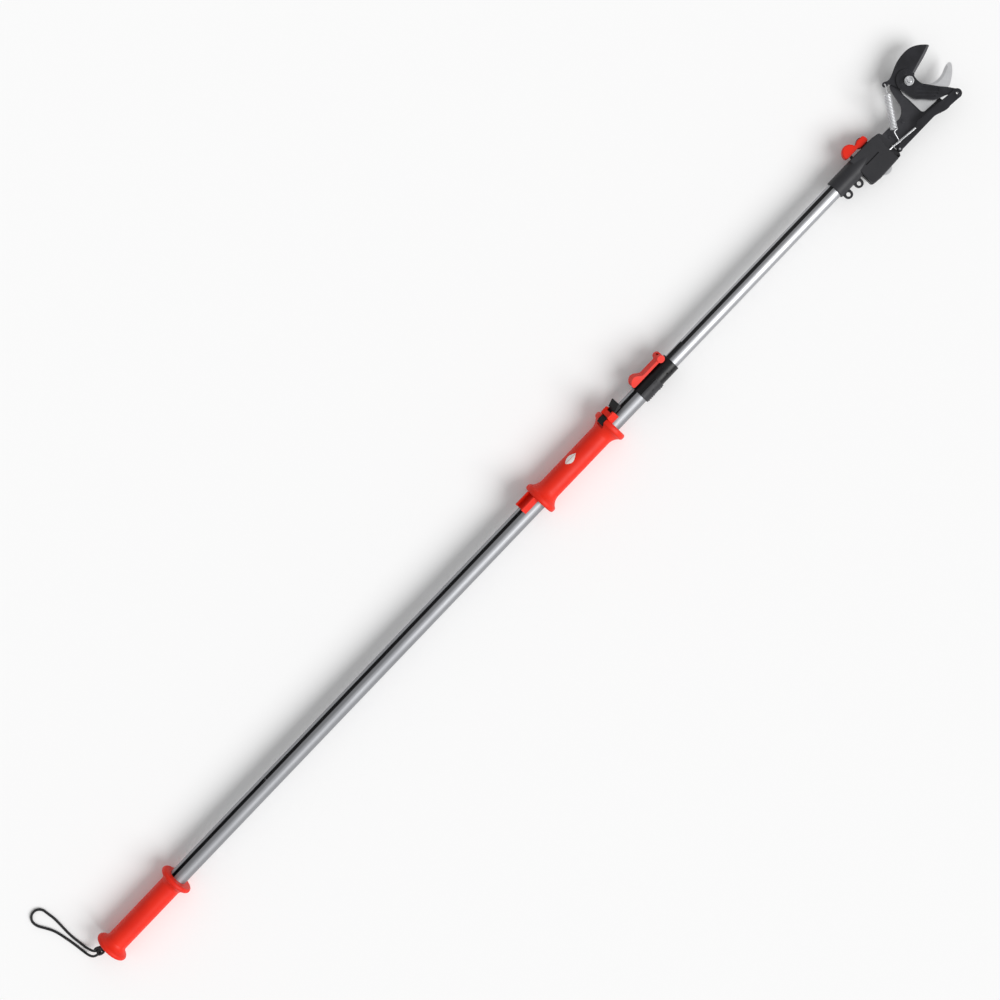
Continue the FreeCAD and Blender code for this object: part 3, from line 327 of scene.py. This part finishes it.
def printed(name):
    """White pad-printed ink, a little thin in places."""
    s = Shader(name, {"Specular IOR Level": 0.4})
    ink = s.noise(900, 4)
    s.colour(s.mixed(s.level(ink, 0.35, 0.7, 0, 1), INK_WHITE, INK_THIN))
    s.roughness(s.level(ink, 0.3, 0.7, 0.4, 0.5))
    s.bumps((ink, INK_DEPTH))
    return s.material


RED, RED_DEEP = (0.80, 0.022, 0.005), (0.70, 0.014, 0.003)
BLACK, BLACK_DEEP = (0.034, 0.034, 0.038), (0.024, 0.024, 0.027)
MATERIALS = {
    "red_plastic": moulded("red_plastic", RED, RED_DEEP, 0.47, 2600, 0.00003),
    "black_plastic": moulded("black_plastic", BLACK, BLACK_DEEP, 0.46, 1900, 0.00006),
    # deep_black_plastic is the black plastic made darker for the clamp's body and recess: its
    # darkness is painted shade where the recess lies in shadow, not a blacker plastic.
    "deep_black_plastic": moulded(
        "deep_black_plastic", (0.008, 0.008, 0.009), (0.005, 0.005, 0.006), 0.34, 2200, 0.00003),
    "natural_nylon": moulded(
        "natural_nylon", (0.75, 0.73, 0.66), (0.68, 0.66, 0.58), 0.5, 2400, 0.00003),
    "lower_aluminium": drawn(
        "lower_aluminium", (0.36, 0.365, 0.38), (0.28, 0.285, 0.30), 0.50, 0.00002),
    "upper_aluminium": drawn(
        "upper_aluminium", (0.45, 0.455, 0.47), (0.37, 0.375, 0.39), 0.42, 0.000015),
    "strap": woven("strap"),
    "cord": braided("cord"),
    "black_blade": coated(
        "black_blade", (0.022, 0.022, 0.027), (0.013, 0.013, 0.016), 0.36, (0.045, 0.045, 0.05)),
    "grey_frame": coated("grey_frame", (0.040, 0.040, 0.046), (0.028, 0.028, 0.033), 0.42),
    "bright_steel": ground_steel(
        "bright_steel", (0.86, 0.865, 0.88), (0.72, 0.725, 0.74), 0.34, (2600, 260, 2600)),
    "zinc_steel": ground_steel(
        "zinc_steel", (0.60, 0.61, 0.63), (0.48, 0.49, 0.50), 0.34, (900, 900, 900)),
}

for subpart in frame["record"]["subparts"]:
    for material_slot in frame["nodes"][subpart["node"]].material_slots:
        material_slot.material = MATERIALS[subpart["material_slot"]]


# ---- Wrist cord and its knot -----------------------------------------------------------------

CORD_R = 2.0
GROUND = -25.4                 # centre of the cord where it lies on the ground
CORD_ROUTE = (
    (0, 9.7, 0), (-12.5, 9.7, 0), (-24, 13.5, -9), (-33, 24, -21),
    (-36.5, 38, GROUND), (-38.5, 58, GROUND), (-37.2, 80, GROUND),
    (-36.6, 95, GROUND), (-38.4, 106.1, GROUND), (-39.2, 117, GROUND),
    (-46.8, 124.6, GROUND), (-57.4, 124.8, GROUND), (-65, 117.4, GROUND),
    (-65, 106.4, GROUND), (-57.8, 94, GROUND), (-50.8, 80.5, GROUND),
    (-47, 62, GROUND), (-44, 43, GROUND), (-42.6, 27, GROUND),
    (-37.5, 13.8, -17), (-27.6, 7.6, -6.5), (-17.6, 6.7, -1),
)
BRAID_STRANDS = 8              # carriers each way round
BRAID_DEPTH = 0.28 * MM
CORD_STEP, CORD_AROUND = 0.26 * MM, 48
SPLINE_STEPS = 24              # of the NURBS line, between two of its control points


def spline_points(route):
    """Points along the smooth NURBS line of a route."""
    curve = bpy.data.curves.new("route", "CURVE")
    curve.dimensions = "3D"
    spline = curve.splines.new("NURBS")
    spline.points.add(len(route) - 1)
    for point, place in zip(spline.points, route):
        point.co = (*at(*place), 1)
    spline.order_u = 3
    spline.use_endpoint_u = True
    spline.resolution_u = SPLINE_STEPS
    holder = bpy.data.objects.new("route", curve)
    mesh = bpy.data.meshes.new_from_object(holder)
    points = [vertex.co.copy() for vertex in mesh.vertices]
    bpy.data.objects.remove(holder)
    bpy.data.meshes.remove(mesh)
    return points


def braid(turn, along):
    """Height of a diamond braid, whose strands run in two helices over and under each other."""
    lay = 2 * pi * CORD_R * MM / BRAID_STRANDS
    one = BRAID_STRANDS * turn + along / lay
    two = BRAID_STRANDS * turn - along / lay
    first_is_over = (floor(one) + floor(two)) % 2 == 0
    across_strand, along_strand = (one, two) if first_is_over else (two, one)
    crown = sin(pi * (across_strand % 1)) ** 0.5
    return BRAID_DEPTH * (crown * (0.55 + 0.45 * sin(pi * (along_strand % 1))) - 1)


cord_path = spline_points(CORD_ROUTE)
cord = sweep("wrist_loop", spaced(cord_path, CORD_STEP), CORD_R * MM, CORD_AROUND, braid)
dress(cord, MATERIALS["cord"])
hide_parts("wrist_cord")

KNOT_CENTRE = (-14.0, 9.7, 0.0)
KNOT_REACH = (4.3, 6.3, 4.4)   # of the cord's centre line in the knot, along X, Y and Z
KNOT_STEP, KNOT_AROUND, KNOT_POINTS = 0.3 * MM, 40, 180
TREFOIL_Y, TREFOIL_Z = 2.76, 3.0   # the farthest that the trefoil's line swings each way
knot_path = []
for i in range(KNOT_POINTS + 1):
    turn = 2 * pi * i / KNOT_POINTS
    swing_y = (sin(turn) + 2 * sin(2 * turn)) / TREFOIL_Y
    swing_z = (cos(turn) - 2 * cos(2 * turn)) / TREFOIL_Z
    knot_path.append(at(
        KNOT_CENTRE[0] - KNOT_REACH[0] * sin(3 * turn),
        KNOT_CENTRE[1] + KNOT_REACH[1] * swing_y,
        KNOT_CENTRE[2] + KNOT_REACH[2] * swing_z,
    ))
knot = sweep("overhand_knot", spaced(knot_path, KNOT_STEP), CORD_R * MM, KNOT_AROUND, braid)
dress(knot, MATERIALS["cord"])
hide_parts("cord_knot")
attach(knot, "lower_pole")
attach(cord, "lower_pole")


# ---- Return spring ---------------------------------------------------------------------------

SPRING_R, WIRE_R = 5.7, 0.85
COIL_PITCH = 2.2
COIL_STEPS, WIRE_AROUND, BEND_STEPS = 28, 10, 8
COIL_MARGIN = 0.02             # share of the coil's length that is bare at each end
COIL_LEAD = 0.05               # share of the coil's length from its end to the wire's next point
SPRING_Z, ROD_Z = 9.0, -1.4
COIL_LOW, COIL_HIGH = (1713.2, -1.8), (1743.7, 41.8)
ANCHOR = (1708.0, -18.5)       # where the lower hook goes round the spring rod
TAIL_HOLE = (1752.8, 54.3)
BLADE_TOP, BLADE_UNDER = 3.3, 0.3


def coil_spring():
    """Coils, with a wire from each end: one round the rod, one through the blade's tail."""
    low, high = at(*COIL_LOW, SPRING_Z), at(*COIL_HIGH, SPRING_Z)
    along = high - low
    side = along.normalized().cross(Vector((0, 0, 1)))
    other = along.normalized().cross(side)
    mean = (SPRING_R - WIRE_R) * MM
    turns = floor(along.length / (COIL_PITCH * MM))
    steps = COIL_STEPS * turns
    coil = []
    for i in range(steps + 1):
        turn = 2 * pi * i / COIL_STEPS
        place = low + along * (COIL_MARGIN + (1 - 2 * COIL_MARGIN) * i / steps)
        coil.append(place + (side * cos(turn) + other * sin(turn)) * mean)
    ax, ay = ANCHOR
    bottom = smooth_wire([
        at(ax + 1.6, ay - 2.2, ROD_Z - 1.9), at(ax - 1.5, ay - 0.6, ROD_Z - 1.5),
        at(ax - 1.2, ay + 0.8, ROD_Z + 1.6), at(ax + 0.6, ay + 1.6, ROD_Z + 3.6),
        at(ax + 1.2, ay + 5.0, 5.0), low - along * COIL_LEAD, coil[0],
    ])
    tx, ty = TAIL_HOLE
    top = smooth_wire([
        coil[-1], high + along * COIL_LEAD, at(tx - 2.6, ty - 4.0, SPRING_Z - 1.6),
        at(tx - 0.6, ty - 0.4, BLADE_TOP + 2.2), at(tx, ty, BLADE_TOP - 1.4),
        at(tx + 0.6, ty + 0.2, BLADE_UNDER - 0.9), at(tx + 2.6, ty + 0.6, BLADE_UNDER - 1.5),
    ])
    return sweep("tension_spring", [*bottom[:-1], *coil, *top[1:]], WIRE_R * MM, WIRE_AROUND)


def smooth_wire(points):
    """A smooth line through points, by Catmull-Rom."""
    padded = [2 * points[0] - points[1], *points, 2 * points[-1] - points[-2]]
    line = []
    for a, b, c, d in zip(padded, padded[1:], padded[2:], padded[3:]):
        for k in range(BEND_STEPS):
            t = k / BEND_STEPS
            line.append(0.5 * (2 * b + (c - a) * t + (2 * a - 5 * b + 4 * c - d) * t * t
                               + (3 * b - a - 3 * c + d) * t * t * t))
    return [*line, points[-1]]


spring = coil_spring()
dress(spring, ground_steel("spring_wire", (0.90, 0.905, 0.92), (0.74, 0.745, 0.76), 0.50,
                           (1800, 1800, 1800)))
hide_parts("return_spring")
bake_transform(spring)


# ---- Mark on the sliding grip ----------------------------------------------------------------

LEAF_CENTRE_X, LEAF_ANGLE = 1034.5, radians(30)
LEAF_LENGTH, LEAF_WIDTH = 23.0, 12.5
LEAF_PROUD = 0.07              # of the print over the grip's surface
RIB_HALF = 0.35                # of the bare line along the leaf
RIB_TAPER = 0.6
TEETH, TOOTH_DEPTH = 6, 0.35   # along each edge of the leaf
STALK = 0.1                    # share of the leaf's length that has no teeth
LEAF_STEPS, LEAF_ROWS = 48, 6
GRIP_R = 17.2                  # of the sliding grip under the leaf
RAY_START = 30                 # outside the grip, from the pole's axis


def leaf():
    """A printed leaf in two halves, laid on the round of the grip."""
    grip = frame["nodes"]["middle_grip"]
    vertices, faces = [], []
    for side in (-1, 1):
        first = len(vertices)
        for i in range(LEAF_STEPS + 1):
            share = i / LEAF_STEPS
            x = LEAF_CENTRE_X + LEAF_LENGTH * (share - 0.5)
            width = LEAF_WIDTH / 2 * sin(pi * share ** 0.85) ** 1.1
            notch = TOOTH_DEPTH * max(0.0, sin(2 * pi * TEETH * share)) * (share > STALK)
            edge = max(RIB_HALF, width - notch)
            rib = RIB_HALF * (1 - RIB_TAPER * share)
            for k in range(LEAF_ROWS + 1):
                arc = side * (rib + (edge - rib) * k / LEAF_ROWS)
                turn = LEAF_ANGLE + arc / GRIP_R
                outward = Vector((0, sin(turn), cos(turn)))
                _, place, *_ = grip.ray_cast(at(x, 0) + outward * RAY_START * MM, -outward)
                vertices.append(place + outward * LEAF_PROUD * MM)
        for i in range(LEAF_STEPS):
            for k in range(LEAF_ROWS):
                a = first + i * (LEAF_ROWS + 1) + k
                quad = (a, a + 1, a + LEAF_ROWS + 2, a + LEAF_ROWS + 1)
                faces.append(quad if side < 0 else tuple(reversed(quad)))
    return show("leaf_mark", vertices, faces)


mark = leaf()
dress(mark, printed("leaf_print"))
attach(mark, "sliding_grip")


# ---- Studio ----------------------------------------------------------------------------------

WINDOW_ENERGY, WINDOW_ANGLE = 2.45, radians(40)
WINDOW_FROM = Vector((0.5, -2.2, 2.1))
FLOOR_HALF = 25
WORLD_STRENGTH = 0.48

window = bpy.data.lights.new("window", "SUN")
window.energy = WINDOW_ENERGY
window.angle = WINDOW_ANGLE
lamp = bpy.data.objects.new("window", window)
lamp.location = WINDOW_FROM
lamp.rotation_euler = (-WINDOW_FROM).to_track_quat("-Z", "Y").to_euler()
bpy.context.scene.collection.objects.link(lamp)

corners = [(x * FLOOR_HALF, y * FLOOR_HALF, 0) for x, y in ((-1, -1), (1, -1), (1, 1), (-1, 1))]
ground = show("floor", corners, [(0, 1, 2, 3)])
dress(ground, Shader("pale_floor", {
    "Base Color": (0.95, 0.95, 0.95, 1), "Roughness": 0.95, "Specular IOR Level": 0.1,
}).material)

world = bpy.data.worlds.new("world")
world.use_nodes = True
world.node_tree.nodes["Background"].inputs["Color"].default_value = (1, 1, 1, 1)
world.node_tree.nodes["Background"].inputs["Strength"].default_value = WORLD_STRENGTH
bpy.context.scene.world = world
bpy.context.scene.view_settings.view_transform = "Standard"
